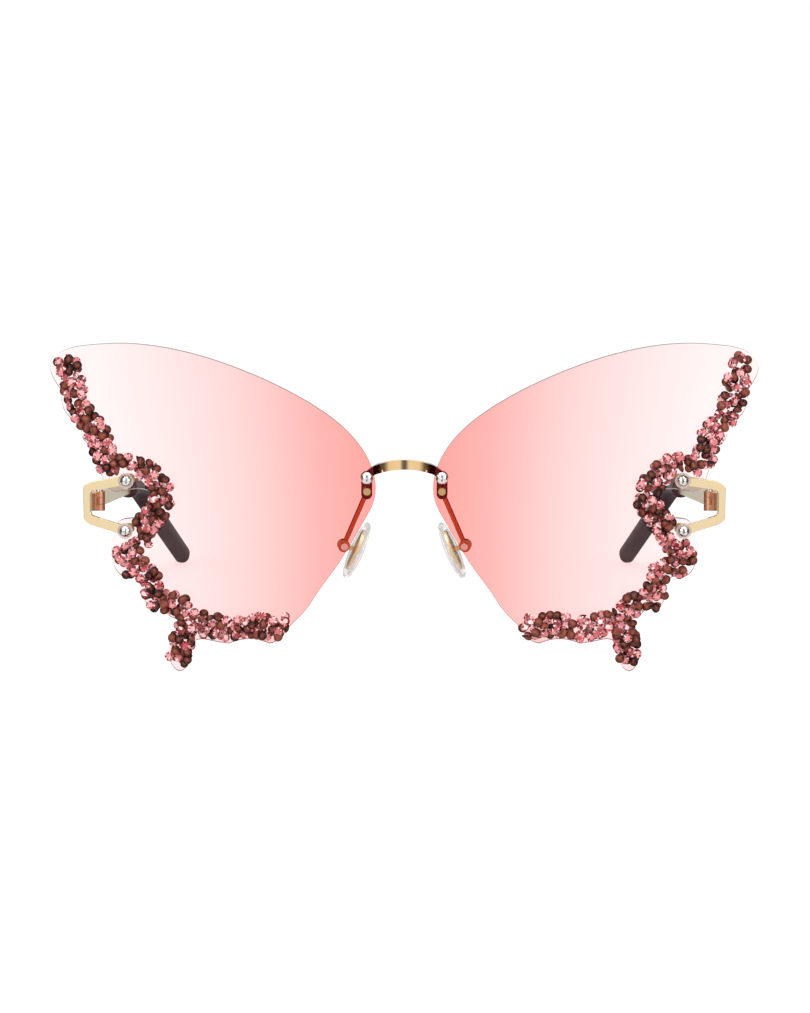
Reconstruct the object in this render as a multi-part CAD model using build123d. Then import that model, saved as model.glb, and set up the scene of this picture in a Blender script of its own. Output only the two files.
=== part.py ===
from build123d import *
import math
import numpy as np
import os
import random

# Butterfly sunglasses, open, standing on the lens tails and the temple tips.
# Millimetres. The lenses face -Y and +Z is up. Left and right are as seen from the front,
# so the right side is at +X and on the wearer's left. It is drawn, and mirrored for the left.

# Lenses: a shell of a large ball, cut to a wing outline
lens_width = 72.2
lens_height = 73.5
lens_gap = 12.6
lens_thickness = 1.8
lens_ball = 265.0
ball_axis_shares = (0.148, 0.506)

# Outline of a wing, as shares of the lens width from the nose and of its height from the tail
outline_shares = [
    [(0.0, 0.578), (0.021, 0.656), (0.082, 0.74), (0.203, 0.83), (0.355, 0.905), (0.507, 0.959),
     (0.66, 0.992), (0.776, 1.0), (0.878, 0.993), (0.964, 0.972), (0.993, 0.948), (1.0, 0.925),
     (0.987, 0.887), (0.968, 0.859)],
    [(0.968, 0.859), (0.963, 0.816), (0.954, 0.793), (0.932, 0.772)],
    [(0.932, 0.772), (0.914, 0.756), (0.902, 0.732)],
    [(0.902, 0.732), (0.897, 0.711), (0.88, 0.694), (0.865, 0.673)],
    [(0.865, 0.673), (0.855, 0.643), (0.841, 0.601), (0.826, 0.568), (0.796, 0.555)],
    [(0.796, 0.555), (0.745, 0.564), (0.701, 0.562), (0.68, 0.549), (0.687, 0.528), (0.712, 0.501),
     (0.737, 0.478), (0.766, 0.473), (0.794, 0.46), (0.809, 0.425), (0.816, 0.384),
     (0.812, 0.341), (0.794, 0.304), (0.757, 0.293)],
    [(0.757, 0.293), (0.729, 0.29), (0.712, 0.272), (0.717, 0.234), (0.702, 0.206), (0.671, 0.202)],
    [(0.671, 0.202), (0.652, 0.19), (0.634, 0.172), (0.612, 0.162), (0.616, 0.139), (0.636, 0.101),
     (0.643, 0.062), (0.634, 0.02), (0.611, 0.0), (0.59, 0.012), (0.577, 0.039), (0.569, 0.074),
     (0.556, 0.1)],
    [(0.556, 0.1), (0.533, 0.104), (0.51, 0.1), (0.482, 0.095), (0.454, 0.092)],
    [(0.454, 0.092), (0.426, 0.102), (0.396, 0.107), (0.36, 0.104), (0.33, 0.094)],
    [(0.33, 0.094), (0.3, 0.106), (0.266, 0.147), (0.222, 0.193), (0.176, 0.259), (0.117, 0.34),
     (0.068, 0.42), (0.034, 0.478), (0.009, 0.526), (0.0, 0.578)],
]

# Holes through a lens, as shares of its width and height
nose_screw_shares = (0.027, 0.605)
nose_peg_shares = (0.027, 0.564)
upper_screw_shares = (0.761, 0.592)
lower_screw_shares = (0.766, 0.439)

# Screws, washers and nuts that clamp the lenses
shank_radius = 0.6
hole_clearance = 0.1
thread_clearance = 0.02
nose_head_radius = 1.35
side_head_radius = 1.2
head_rim = 0.25
head_rise_share = 0.55
washer_radius = 1.75
washer_thickness = 0.3
nut_radius = 1.15
nut_height = 1.1
peg_radius = 0.8
peg_proud = 0.15

# Bridge over the nose and the tabs behind the lenses
tab_thickness = 1.0
tab_width = 2.4
tab_below_screw = 4.9
seat_clearance = 0.06
bridge_height = 2.1
bridge_depth = 1.5
bridge_rise = 2.85
bridge_above_screw = 0.3
bridge_forward = 6.4
bridge_straight = 1.9
bridge_knee_radius = 1.5
bridge_bow_radius = 7.0

# Nose pads on their arms
pad_length = 13.6
pad_width = 7.2
pad_thickness = 2.5
pad_front_radius = 1.1
pad_back_radius = 0.5
pad_tilt = 23.6
pad_splay = 10.0
pad_beyond_screw = 5.35
pad_pivot_depth = 8.4
pad_pivot_drop = 16.4
pad_stem = 2.0
core_length = 9.6
core_width = 4.4
core_thickness = 0.5
core_depth_share = 0.3
eye_radius = 0.85
eye_thickness = 0.9
neck_width = 1.0
box_radius = 1.35
box_cheek = 0.5
pad_screw_radius = 0.45
pad_screw_head_radius = 0.8
pad_screw_head_height = 0.4
running_clearance = 0.05
slot_clearance = 0.1
arm_wire_radius = 0.55
arm_reach_back = 3.2
arm_bend_radius = 2.0
arm_above_tab_end = 1.1

# Forked end pieces on the lens fronts
fork_thickness = 1.0
fork_arm_height = 2.1
fork_eyelet_radius = 1.5
fork_bar_height = 9.2
fork_lift = 0.4
fork_corner_radius = 2.2
side_plate_thickness = 1.4
side_plate_shoulder = 2.2
side_plate_neck = 3.6
side_plate_end_height = 4.0

# Hinges between the end pieces and the temples
hinge_beyond_screw = 7.15
hinge_setback = 7.6
hinge_height = 4.4
knuckle_radius = 1.2
knuckle_gap = 0.05
hinge_gap = 0.15
butt_gap = 0.1
leaf_length = 5.0
leaf_thickness = 1.0
hinge_pin_radius = 0.5
hinge_head_radius = 0.85
hinge_head_height = 0.35

# Temples and their tips
temple_slope = 6.5
temple_inward = 2.6
temple_length = 76.0
temple_end_height = 2.4
temple_end_thickness = 1.2
tip_overlap = 14.0
tip_height = 4.8
tip_thickness = 4.4
tip_bend_radius = 34.0
tip_inward = 8.2
tip_reach = 50.1
tip_edge_radius = 1.9
tip_end_radius = 1.1
tip_start_radius = 0.35

# Cut stones glued to the lens fronts
stone_width = 2.2
stone_crown = 0.4
stone_point = 0.66
stone_table_share = 0.56
stone_sides = 8
stone_clearance = 0.02
stone_hardware_gap = 0.08
stone_step = 0.05
stone_steps = 44
band_half_width = 2.3
places_for_a_stone = 16
outline_steps = 12
edge_on_share = 0.08
lean = 30.0
edge_lean = 62.0

# Bands of stones along the wing, as shares of the lens size, each with its number of stones
band_shares = {
    "wing": ([(0.95, 0.957), (0.931, 0.902), (0.92, 0.842), (0.888, 0.776), (0.851, 0.736),
              (0.836, 0.682), (0.815, 0.636), (0.759, 0.637), (0.712, 0.632)], 112),
    "notch": ([(0.712, 0.632), (0.676, 0.6), (0.65, 0.558), (0.652, 0.524), (0.677, 0.493),
               (0.704, 0.459)], 52),
    "lower": ([(0.704, 0.459), (0.728, 0.409), (0.77, 0.385), (0.765, 0.335), (0.705, 0.32),
               (0.684, 0.284), (0.69, 0.235), (0.634, 0.222), (0.58, 0.2)], 96),
    "tail": ([(0.58, 0.2), (0.592, 0.135), (0.602, 0.069), (0.611, 0.035)], 36),
}
hem_shares = [(0.56, 0.165), (0.515, 0.152), (0.442, 0.146), (0.371, 0.157), (0.323, 0.148), (0.275, 0.152)]
hem_stones = 64
stone_seeds = {"right": 11, "left": 29}

# One overrun for every cut
overrun = 5.0

axis_x = lens_gap / 2 + ball_axis_shares[0] * lens_width
axis_z = ball_axis_shares[1] * lens_height
ball_centre = Vector(axis_x, lens_ball, axis_z)
hole_radius = shank_radius + hole_clearance
upward = Vector(0, 0, 1)


def flat_place(shares):
    """Place on a lens seen from the front, as (x, z)."""
    return lens_gap / 2 + shares[0] * lens_width, shares[1] * lens_height


def face_depth(x, z, out=0.0):
    """Depth of the lens front at a place, or of a ball face larger than it by out."""
    return lens_ball - math.sqrt((lens_ball + out) ** 2 - (x - axis_x) ** 2 - (z - axis_z) ** 2)


def lens_seat(shares):
    """Frame on the lens front: X level and away from the nose, Y up, Z out of the face."""
    x, z = flat_place(shares)
    spot = Vector(x, face_depth(x, z), z)
    outward = (spot - ball_centre).normalized()
    return Plane(origin=spot, x_dir=upward.cross(outward), z_dir=outward).location


def rod(place, radius, low, high):
    """Cylinder along the Z of a place, between two heights."""
    lift = Pos(0, 0, min(low, high))
    return place * lift * Cylinder(radius, abs(high - low), align=(Align.CENTER, Align.CENTER, Align.MIN))


def dome(place, radius, rise, base):
    """Cap of a ball on a level base of the given radius."""
    ball = (radius**2 + rise**2) / (2 * rise)
    cap = Pos(0, 0, rise - ball) * Sphere(ball)
    return place * Pos(0, 0, base) * (cap & rod(Pos(0, 0, 0), radius, 0, rise))


def wing_edges():
    """The stretches of the wing outline as smooth curves in the XZ plane."""
    stretches = []
    for stretch in outline_shares:
        places = [flat_place(shares) for shares in stretch]
        stretches.append(Spline(*[Vector(x, 0, z) for x, z in places]))
    return stretches


def lens():
    """One lens: a wing-shaped piece of a spherical shell with four holes."""
    wing = extrude(make_face(wing_edges()), amount=overrun, dir=(0, -1, 0))
    wing += extrude(make_face(wing_edges()), amount=lens_thickness + 4 * overrun, dir=(0, 1, 0))
    blank = wing & (Pos(*ball_centre) * Sphere(lens_ball))
    blank -= Pos(*ball_centre) * Sphere(lens_ball - lens_thickness)
    for shares in (nose_screw_shares, upper_screw_shares, lower_screw_shares):
        blank -= rod(lens_seat(shares), hole_radius, -overrun, overrun)
    blank -= rod(lens_seat(nose_peg_shares), peg_radius + hole_clearance, -overrun, overrun)
    return blank


def screw(place, head_radius, head_base, end):
    """Domed screw: head on a base height, shank down to its end height."""
    head = rod(place, head_radius, head_base, head_base + head_rim)
    head += dome(place, head_radius, head_radius * head_rise_share, head_base + head_rim)
    return head + rod(place, shank_radius, end, head_base + head_rim / 2)


def ring(place, radius, low, high):
    """Washer or nut round a screw shank."""
    return rod(place, radius, low, high) - rod(place, shank_radius + thread_clearance, low, high)


nose_seat = lens_seat(nose_screw_shares)
peg_seat = lens_seat(nose_peg_shares)
tab_front = -lens_thickness - seat_clearance
tab_back = tab_front - tab_thickness
peg_drop = (nose_screw_shares[1] - nose_peg_shares[1]) * lens_height


def tab():
    """Flat tab behind the lens, with a round head at the screw and a round foot."""
    foot = tab_width / 2 - tab_below_screw
    shape = Circle(nose_head_radius)
    shape += Pos(0, foot / 2) * Rectangle(tab_width, -foot)
    shape += Pos(0, foot) * Circle(tab_width / 2)
    plate = extrude(Pos(0, 0, tab_back) * shape, amount=tab_thickness)
    plate -= rod(Pos(0, 0, 0), shank_radius + thread_clearance, tab_back - overrun, overrun)
    return nose_seat * plate - rod(peg_seat, peg_radius, -overrun, overrun)


def bridge():
    """Bowed and arched bar over the nose, with the two tabs that it ends in."""
    screw_at = nose_seat.position
    end_x = screw_at.X
    end_z = screw_at.Z + bridge_above_screw
    low, high = end_z - bridge_height / 2, end_z + bridge_height / 2
    bar_front = face_depth(lens_gap / 2, high + bridge_rise) + lens_thickness + seat_clearance
    bar_y = bar_front + bridge_depth / 2
    knee_x = end_x - bridge_straight
    bow = FilletPolyline(
        (-end_x, bar_y), (-knee_x, bar_y), (0, bar_y - bridge_forward), (knee_x, bar_y), (end_x, bar_y),
        radius=[bridge_knee_radius, bridge_bow_radius, bridge_knee_radius],
    )
    strip = extrude(trace(bow, bridge_depth), amount=lens_height)
    under = ThreePointArc((-end_x, 0, low), (0, 0, low + bridge_rise), (end_x, 0, low))
    over = ThreePointArc((-end_x, 0, high), (0, 0, high + bridge_rise), (end_x, 0, high))
    sides = [Line(under @ 0, over @ 0), Line(under @ 1, over @ 1)]
    arch = extrude(make_face([under, over, *sides]), amount=lens_ball, dir=(0, 1, 0), both=True)
    one_end = tab()
    bar = (strip & arch) + one_end + mirror(one_end, about=Plane.YZ)
    room = rod(nose_seat, nut_radius + seat_clearance, tab_back - overrun, tab_back)
    room += rod(nose_seat, shank_radius + thread_clearance, tab_back, overrun)
    return bar - room - mirror(room, about=Plane.YZ)


def nose_fasteners():
    """Screw, nut and turn-stop peg that hold one lens to its tab."""
    held = screw(nose_seat, nose_head_radius, 0, tab_back - nut_height)
    nut = ring(nose_seat, nut_radius, tab_back - nut_height, tab_back)
    peg = rod(peg_seat, peg_radius, tab_back, peg_proud)
    return held, nut, peg


# Frame of a nose pad at its rocking screw: X up along the pad, Y towards the nose, Z forward
tilt, splay = math.radians(pad_tilt), math.radians(pad_splay)
pad_up = Vector(-math.sin(tilt), 0, math.cos(tilt))
pad_flat_in = Vector(-math.cos(tilt), 0, -math.sin(tilt))
pad_in = pad_flat_in * math.cos(splay) + Vector(0, math.sin(splay), 0)
pad_x = nose_seat.position.X + pad_beyond_screw
pad_pivot = Vector(pad_x, pad_pivot_depth, nose_seat.position.Z - pad_pivot_drop)
pad_place = Plane(origin=pad_pivot, x_dir=pad_up, z_dir=pad_up.cross(pad_in)).location
pad_back = Plane(origin=pad_pivot + pad_in * pad_stem, x_dir=pad_up, z_dir=pad_in).location
box_half = eye_thickness / 2 + slot_clearance + box_cheek


def pad_core():
    """Metal plate inside the pad, with the neck and the eye that the screw goes through."""
    low = pad_thickness * core_depth_share
    plate = extrude(Pos(0, 0, low) * Ellipse(core_length / 2, core_width / 2), amount=core_thickness)
    neck_length = pad_stem + low + core_thickness / 2
    neck = Pos(0, 0, (neck_length - 2 * pad_stem) / 2) * Box(neck_width, eye_thickness, neck_length)
    core = pad_back * (plate + neck)
    core += rod(pad_place, eye_radius, -eye_thickness / 2, eye_thickness / 2)
    return core - rod(pad_place, pad_screw_radius + running_clearance, -overrun, overrun)


def nose_pad():
    """Soft oval pad, rounder on the side that touches the nose."""
    pad = extrude(Ellipse(pad_length / 2, pad_width / 2), amount=pad_thickness)
    pad = fillet(pad.edges().group_by(Axis.Z)[-1], pad_front_radius)
    pad = fillet(pad.edges().group_by(Axis.Z)[0], pad_back_radius)
    return pad_back * pad - pad_core()


def pad_box():
    """Round box with a slot that the eye of the pad rocks in."""
    box = rod(Pos(0, 0, 0), box_radius, -box_half, box_half)
    room = eye_radius + slot_clearance
    slot = Box(2 * overrun, overrun + room, eye_thickness + 2 * slot_clearance)
    box -= Pos(0, (overrun - room) / 2, 0) * slot
    return pad_place * box - rod(pad_place, pad_screw_radius + thread_clearance, -overrun, overrun)


def pad_arm():
    """Wire from the back of the tab to the pad box."""
    start = nose_seat * Pos(0, arm_above_tab_end - tab_below_screw, tab_back)
    first = start.position
    bend = first + Vector(0, arm_reach_back, 0)
    path = FilletPolyline(first, bend, pad_pivot, radius=arm_bend_radius)
    wire = sweep(Plane(origin=first, z_dir=(0, 1, 0)) * Circle(arm_wire_radius), path=path)
    wire -= rod(pad_place, box_radius, -box_half, box_half)
    tab_space = nose_seat * Pos(0, 0, tab_back + overrun / 2) * Box(overrun, 4 * overrun, overrun)
    return (wire - tab_space).solids().sort_by(lambda part: part.volume)[-1]


def pad_screw():
    """Small screw that the pad rocks on."""
    head = rod(pad_place, pad_screw_head_radius, box_half, box_half + pad_screw_head_height)
    return head + rod(pad_place, pad_screw_radius, -box_half, box_half)


# Frame of the fork halfway between its screws, and frame of the hinge axis
fork_shares = tuple((a + b) / 2 for a, b in zip(upper_screw_shares, lower_screw_shares))
fork_seat = lens_seat(fork_shares)
fork_plane = Plane(fork_seat)
slope = math.radians(temple_slope)
plate_low = knuckle_radius + hinge_gap
plate_high = plate_low + side_plate_thickness
hinge_x = lens_seat(upper_screw_shares).position.X + hinge_beyond_screw
bar_x = hinge_x + (plate_low + plate_high) / 2
bar_share = (bar_x - fork_seat.position.X) / fork_plane.x_dir.X
bar_point = fork_plane.origin + fork_plane.x_dir * bar_share + fork_plane.z_dir * (fork_thickness / 2)
bar_z = bar_point.Z + fork_lift
hinge_at = Vector(hinge_x, bar_point.Y + hinge_setback, bar_z - hinge_setback * math.tan(slope))
hinge_axis = Vector(0, math.sin(slope), math.cos(slope))
hinge_place = Plane(origin=hinge_at, x_dir=(1, 0, 0), z_dir=hinge_axis).location


def side_plate():
    """Plate from the fork back to the hinge, narrowing behind a shoulder."""
    front = -hinge_setback / math.cos(slope)
    tall, low = fork_bar_height / 2 - fork_corner_radius, side_plate_end_height / 2
    half = [(front, tall), (front + side_plate_shoulder, tall), (-side_plate_neck, low), (-butt_gap, low)]
    outline = half + [(y, -z) for y, z in reversed(half)]
    face = make_face(Polyline(*[(plate_low, y, z) for y, z in outline], close=True))
    return hinge_place * extrude(face, amount=side_plate_thickness, dir=(1, 0, 0))


def endpiece():
    """C-shaped fork that grips the lens front with two arms, and its side plate."""
    both = (upper_screw_shares, lower_screw_shares)
    screws = [fork_plane.to_local_coords(lens_seat(shares).position) for shares in both]
    top, foot = [(point.X, point.Y) for point in screws]
    half = fork_bar_height / 2 - fork_arm_height / 2
    high, low = (bar_share, fork_lift + half), (bar_share, fork_lift - half)
    path = FilletPolyline(top, high, low, foot, radius=fork_corner_radius)
    shape = trace(path, fork_arm_height)
    for eyelet in (top, foot):
        shape += Pos(*eyelet) * Circle(fork_eyelet_radius)
    fork = fork_seat * extrude(shape, amount=fork_thickness)
    outside = Box(overrun, 8 * overrun, 8 * overrun, align=(Align.MIN, Align.CENTER, Align.CENTER))
    fork -= Pos(hinge_x + plate_high, hinge_at.Y, hinge_at.Z) * outside
    fork += side_plate()
    for shares in both:
        fork -= rod(lens_seat(shares), hole_radius, -overrun, overrun)
    return fork


def side_fasteners(shares):
    """Domed screw, clear washer and nut at one arm of the fork."""
    place = lens_seat(shares)
    out = fork_plane.z_dir
    above_lens = (fork_plane.origin - place.position).dot(out) + fork_thickness
    arm_top = above_lens / Plane(place).z_dir.dot(out) + seat_clearance
    nut_top = -lens_thickness - seat_clearance
    washer = ring(place, washer_radius, arm_top, arm_top + washer_thickness)
    held = screw(place, side_head_radius, arm_top + washer_thickness, nut_top - nut_height)
    nut = ring(place, nut_radius, nut_top - nut_height, nut_top)
    return held, washer, nut


def knuckle(low, high, side):
    """Barrel of a hinge leaf between two heights, and its web. side is -1 in front, 1 behind."""
    reach = knuckle_radius + hinge_gap
    start = butt_gap / 2 if side > 0 else -reach
    web = Box(plate_low, reach - butt_gap / 2, high - low, align=(Align.MIN, Align.MIN, Align.MIN))
    block = rod(Pos(0, 0, 0), knuckle_radius, low, high)
    block += Pos(0, start, low) * web
    return block - rod(Pos(0, 0, 0), hinge_pin_radius + running_clearance, low, high)


def leaf(side):
    """Flat of a hinge leaf on the inner face of the side plate or temple."""
    reach = knuckle_radius + hinge_gap
    flat = Box(leaf_thickness, leaf_length - reach, side_plate_end_height)
    return Pos(plate_low - leaf_thickness / 2, side * (leaf_length + reach) / 2, 0) * flat


third = (hinge_height - 2 * knuckle_gap) / 3


def hinge_front_leaf():
    """Leaf on the end piece, with the upper and lower knuckles."""
    half = hinge_height / 2
    part = leaf(-1) + knuckle(-half, third - half, -1) + knuckle(half - third, half, -1)
    return hinge_place * part


def hinge_temple_leaf():
    """Leaf on the temple, with the middle knuckle."""
    return hinge_place * (leaf(1) + knuckle(-third / 2, third / 2, 1)) - temple()


def hinge_screw():
    """Pin with a low head that the temple turns on."""
    half = hinge_height / 2
    head = rod(hinge_place, hinge_head_radius, half, half + hinge_head_height)
    return head + rod(hinge_place, hinge_pin_radius, -half, half)


temple_mid = (plate_low + plate_high) / 2


def temple():
    """Tapered bar that leans in slightly, with its end inside the tip."""
    front = Plane(origin=(temple_mid, 0, 0), x_dir=(1, 0, 0), z_dir=(0, 1, 0))
    back = Plane(origin=(temple_mid - temple_inward, temple_length, 0), x_dir=(1, 0, 0), z_dir=(0, 1, 0))
    wide = front * Rectangle(side_plate_thickness, side_plate_end_height)
    thin = back * Rectangle(temple_end_thickness, temple_end_height)
    bar = loft([wide, thin], ruled=True)
    return hinge_place * bar


def temple_point(share):
    """Point on the centre line of a temple, at a share of its length."""
    spot = Pos(temple_mid - temple_inward * share, temple_length * share, 0)
    return (hinge_place * spot).position


def tip_along(end_z):
    """Sleeve swept from the temple to its end at a given height."""
    start, bend = temple_point(1 - tip_overlap / temple_length), temple_point(1)
    end = Vector(hinge_x - tip_inward, bend.Y + tip_reach, end_z)
    path = FilletPolyline(start, bend, end, radius=tip_bend_radius)
    along = (bend - start).normalized()
    oval = RectangleRounded(tip_thickness, tip_height, tip_edge_radius)
    sleeve = sweep(Plane(origin=start, x_dir=upward.cross(along), z_dir=along) * oval, path=path)
    sleeve = fillet(sleeve.faces().filter_by(GeomType.PLANE).sort_by(Axis.Y)[-1].edges(), tip_end_radius)
    return fillet(sleeve.faces().filter_by(GeomType.PLANE).sort_by(Axis.Y)[0].edges(), tip_start_radius)


def temple_tip():
    """Sleeve over the end of the temple, bent down until it stands level with the lens tails."""
    guess = tip_height / 2
    low = tip_along(guess).bounding_box().min.Z
    return tip_along(guess + lens_foot - low) - temple()


def ring_of_corners(radius, z):
    """Corners of a stone's outline at a height."""
    angles = [math.tau * i / stone_sides for i in range(stone_sides)]
    return [(radius * math.cos(angle), radius * math.sin(angle), z) for angle in angles]


def pattern_stone():
    """Corners and facets of a cut stone: table on +Z, point on -Z, middle at the origin."""
    girdle_z = (stone_point - stone_crown) / 4
    girdle = ring_of_corners(stone_width / 2, girdle_z)
    table = ring_of_corners(stone_table_share * stone_width / 2, girdle_z + stone_crown)
    facets = [list(range(stone_sides, 2 * stone_sides))]
    for i in range(stone_sides):
        j = (i + 1) % stone_sides
        facets.append([i, j, j + stone_sides, i + stone_sides])
        facets.append([i, 2 * stone_sides, j])
    return np.array(girdle + table + [(0, 0, girdle_z - stone_point)]), facets


stone_corners, stone_facets = pattern_stone()
stone_reach = np.linalg.norm(stone_corners, axis=1).max() + stone_clearance


def facet_planes():
    """Outward direction of each facet, and its distance from the middle of the stone."""
    first, second, third = (stone_corners[[facet[k] for facet in stone_facets]] for k in range(3))
    across = np.cross(second - first, third - first)
    across *= np.sign((across * first).sum(axis=1))[:, None]
    across /= np.linalg.norm(across, axis=1)[:, None]
    return across, (across * first).sum(axis=1)


def stone_solid():
    """The pattern stone as a solid."""
    faces = [Face(Wire.make_polygon([Vector(*stone_corners[k]) for k in facet])) for facet in stone_facets]
    return Solid(Shell(faces))


stone_planes, stone_offsets = facet_planes()


def outline_places():
    """The wing outline as a closed row of places, for asking what lies inside it."""
    row = []
    for edge in wing_edges():
        row += [edge @ (i / outline_steps) for i in range(outline_steps)]
    return [(point.X, point.Z) for point in row]


def is_inside(x, z, row):
    """Does a level line from the place cross the outline an odd number of times?"""
    odd = False
    for (x1, z1), (x2, z2) in zip(row, row[1:] + row[:1]):
        if (z1 > z) != (z2 > z) and x < x1 + (z - z1) * (x2 - x1) / (z2 - z1):
            odd = not odd
    return odd


def clears_hardware(x, z):
    """Is a stone clear of the fork's arms, its washers and the lens edge beside them?"""
    near = stone_reach + stone_hardware_gap
    for shares in (upper_screw_shares, lower_screw_shares):
        screw_x, screw_z = flat_place(shares)
        if math.hypot(x - screw_x, z - screw_z) < washer_radius + near:
            return False
    corner = fork_bar_height / 2 - fork_arm_height / 2
    for shares, rise in ((upper_screw_shares, corner), (lower_screw_shares, -corner)):
        end_z = bar_z + rise
        screw_x, screw_z = flat_place(shares)
        along = (x - screw_x) / (bar_x - screw_x)
        if along > 0 and abs(z - screw_z - along * (end_z - screw_z)) < fork_arm_height / 2 + near:
            return False
    return True


def random_turn(chance, facing):
    """Turn of a stone as its X, Y and Z: facing 1 shows the table, -1 shows the foiled back."""
    angle, spin = chance.uniform(0, math.tau), chance.uniform(0, math.tau)
    steep = edge_lean if chance.random() < edge_on_share else lean * math.sqrt(chance.random())
    out, aside = math.cos(math.radians(steep)), math.sin(math.radians(steep))
    axis = np.array([aside * math.cos(angle), -out * facing, aside * math.sin(angle)])
    level = np.cross((0, 0, 1), axis)
    level /= np.linalg.norm(level)
    side = level * math.cos(spin) + np.cross(axis, level) * math.sin(spin)
    return np.array([side, np.cross(axis, side), axis])


def lens_rest(x, z, turn):
    """Middle of a turned stone that lies on the lens at a place."""
    spot = np.array([x, face_depth(x, z), z])
    outward = spot - np.array(tuple(ball_centre))
    outward /= np.linalg.norm(outward)
    gap = stone_clearance - (stone_corners @ turn @ outward).min()
    return spot + np.array([0, gap / outward[1], 0])


def least_rise(middle, turn, placed):
    """Least rise off the lens at which a facet of either stone parts each pair, or None."""
    middles = np.array([stone[0] for stone in placed]).reshape(-1, 3)
    near = np.hypot(middles[:, 0] - middle[0], middles[:, 2] - middle[2]) < 2 * stone_reach
    if not near.any():
        return 0.0
    turns = np.array([stone[1] for stone in placed])[near]
    middles = middles[near]
    others = stone_corners @ turns + middles[:, None]
    planes, other_planes = stone_planes @ turn, stone_planes @ turns
    mine = stone_corners @ turn + middle
    gaps = (others @ planes.T).min(axis=1) - (planes @ middle + stone_offsets)
    other_gaps = (mine @ other_planes.transpose(0, 2, 1)).min(axis=1)
    other_gaps -= (other_planes * middles[:, None]).sum(axis=2) + stone_offsets
    rises = np.arange(stone_steps) * stone_step
    parted = (gaps[..., None] + planes[:, 1, None] * rises).max(axis=1)
    other_parted = (other_gaps[..., None] - other_planes[:, :, 1, None] * rises).max(axis=1)
    clear = (np.maximum(parted, other_parted) >= stone_clearance).all(axis=0)
    return rises[clear.argmax()] if clear.any() else None


def scatter(chance, path_shares, count, placed, row):
    """Adds stones along a band. Each takes the lowest and closest packed of a few random places."""
    path = [flat_place(shares) for shares in path_shares]
    band = Polyline(*[Vector(x, 0, z) for x, z in path])
    added = []
    for _ in range(count):
        facing, best = chance.choice((1, -1)), None
        turn = random_turn(chance, facing)
        for _ in range(places_for_a_stone):
            share, offset = chance.random(), chance.uniform(-1, 1) * band_half_width
            spot, along = band @ share, band % share
            x, z = spot.X - along.Z * offset, spot.Z + along.X * offset
            if not is_inside(x, z, row) or not clears_hardware(x, z):
                continue
            middle = lens_rest(x, z, turn)
            rise = least_rise(middle, turn, placed)
            if rise is not None and (best is None or rise < best[0]):
                best = (rise, middle - np.array([0, rise, 0]))
        if best:
            placed.append((best[1], turn))
            added.append((best[1], turn, facing))
    return added


def stones_of(side, stone):
    """All stones of one lens, sorted into nodes by band and by the face that shows."""
    chance = random.Random(stone_seeds[side])
    placed, nodes = [], {}
    row = outline_places()
    for band, (path_shares, count) in band_shares.items():
        added = scatter(chance, path_shares, count, placed, row)
        if band == "tail":
            added += scatter(chance, hem_shares, hem_stones, placed, row)
        for middle, turn, facing in added:
            place = Plane(origin=tuple(middle), x_dir=tuple(turn[0]), z_dir=tuple(turn[2])).location
            laid = place * stone
            name = f"{side}_{band}_stones_{'front' if facing > 0 else 'back'}"
            nodes.setdefault(name, []).append(laid if side == "right" else mirror(laid, about=Plane.YZ))
    return nodes


right_lens = lens()
lens_foot = right_lens.bounding_box().min.Z
right_parts = {
    "lens": right_lens,
    "pad_arm": pad_arm(),
    "pad_box": pad_box(),
    "pad_screw": pad_screw(),
    "nose_pad": nose_pad(),
    "pad_core": pad_core(),
    "endpiece": endpiece(),
    "hinge_front_leaf": hinge_front_leaf(),
    "hinge_temple_leaf": hinge_temple_leaf(),
    "hinge_screw": hinge_screw(),
    "temple": temple(),
    "temple_tip": temple_tip(),
}
nose_screw, nose_nut, nose_peg = nose_fasteners()
side_sets = [side_fasteners(upper_screw_shares), side_fasteners(lower_screw_shares)]
fastener_groups = {
    "bridge_screws": [nose_screw],
    "bridge_nuts": [nose_nut],
    "bridge_pegs": [nose_peg],
    "endpiece_screws": [group[0] for group in side_sets],
    "endpiece_washers": [group[1] for group in side_sets],
    "endpiece_nuts": [group[2] for group in side_sets],
}

nodes = {"bridge": [bridge()]}
for name, part in right_parts.items():
    nodes["right_" + name] = [part]
    nodes["left_" + name] = [mirror(part, about=Plane.YZ)]
for name, parts in fastener_groups.items():
    nodes[name] = parts + [mirror(part, about=Plane.YZ) for part in parts]
for side in ("right", "left"):
    nodes.update(stones_of(side, stone_solid()))

# Origin: midway in depth, on the surface that the tails and tips stand on
every_solid = [solid for parts in nodes.values() for part in parts for solid in part.solids()]
box = Compound(every_solid).bounding_box()
shift = Vector(0, -(box.min.Y + box.max.Y) / 2, -lens_foot)
os.makedirs("parts", exist_ok=True)
for name, parts in nodes.items():
    solids = [Pos(*shift) * solid for part in parts for solid in part.solids()]
    export_step(solids[0] if len(solids) == 1 else Compound(solids), f"parts/{name}.step")

print("overall low", box.min + shift, "high", box.max + shift)
print("hinge at", hinge_at + shift, "axis", hinge_axis)
print("pad pivot at", pad_pivot + shift, "axis", pad_up.cross(pad_in), "up", pad_up, "in", pad_in)
print("stones", sum(len(parts) for name, parts in nodes.items() if "_stones_" in name))
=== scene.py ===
# %% [markdown]
# Butterfly sunglasses with cut stones: a dressed model around a CAD part.
# The CAD part comes in as a fixed frame, with every node and joint in its place. The cells
# below add what CAD is poor at: the cut of the stones, soft silicone, polished acetate,
# plated metal and a tinted lens. Nothing that moves is given a new place.

# %% Load the frame
import math

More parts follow.
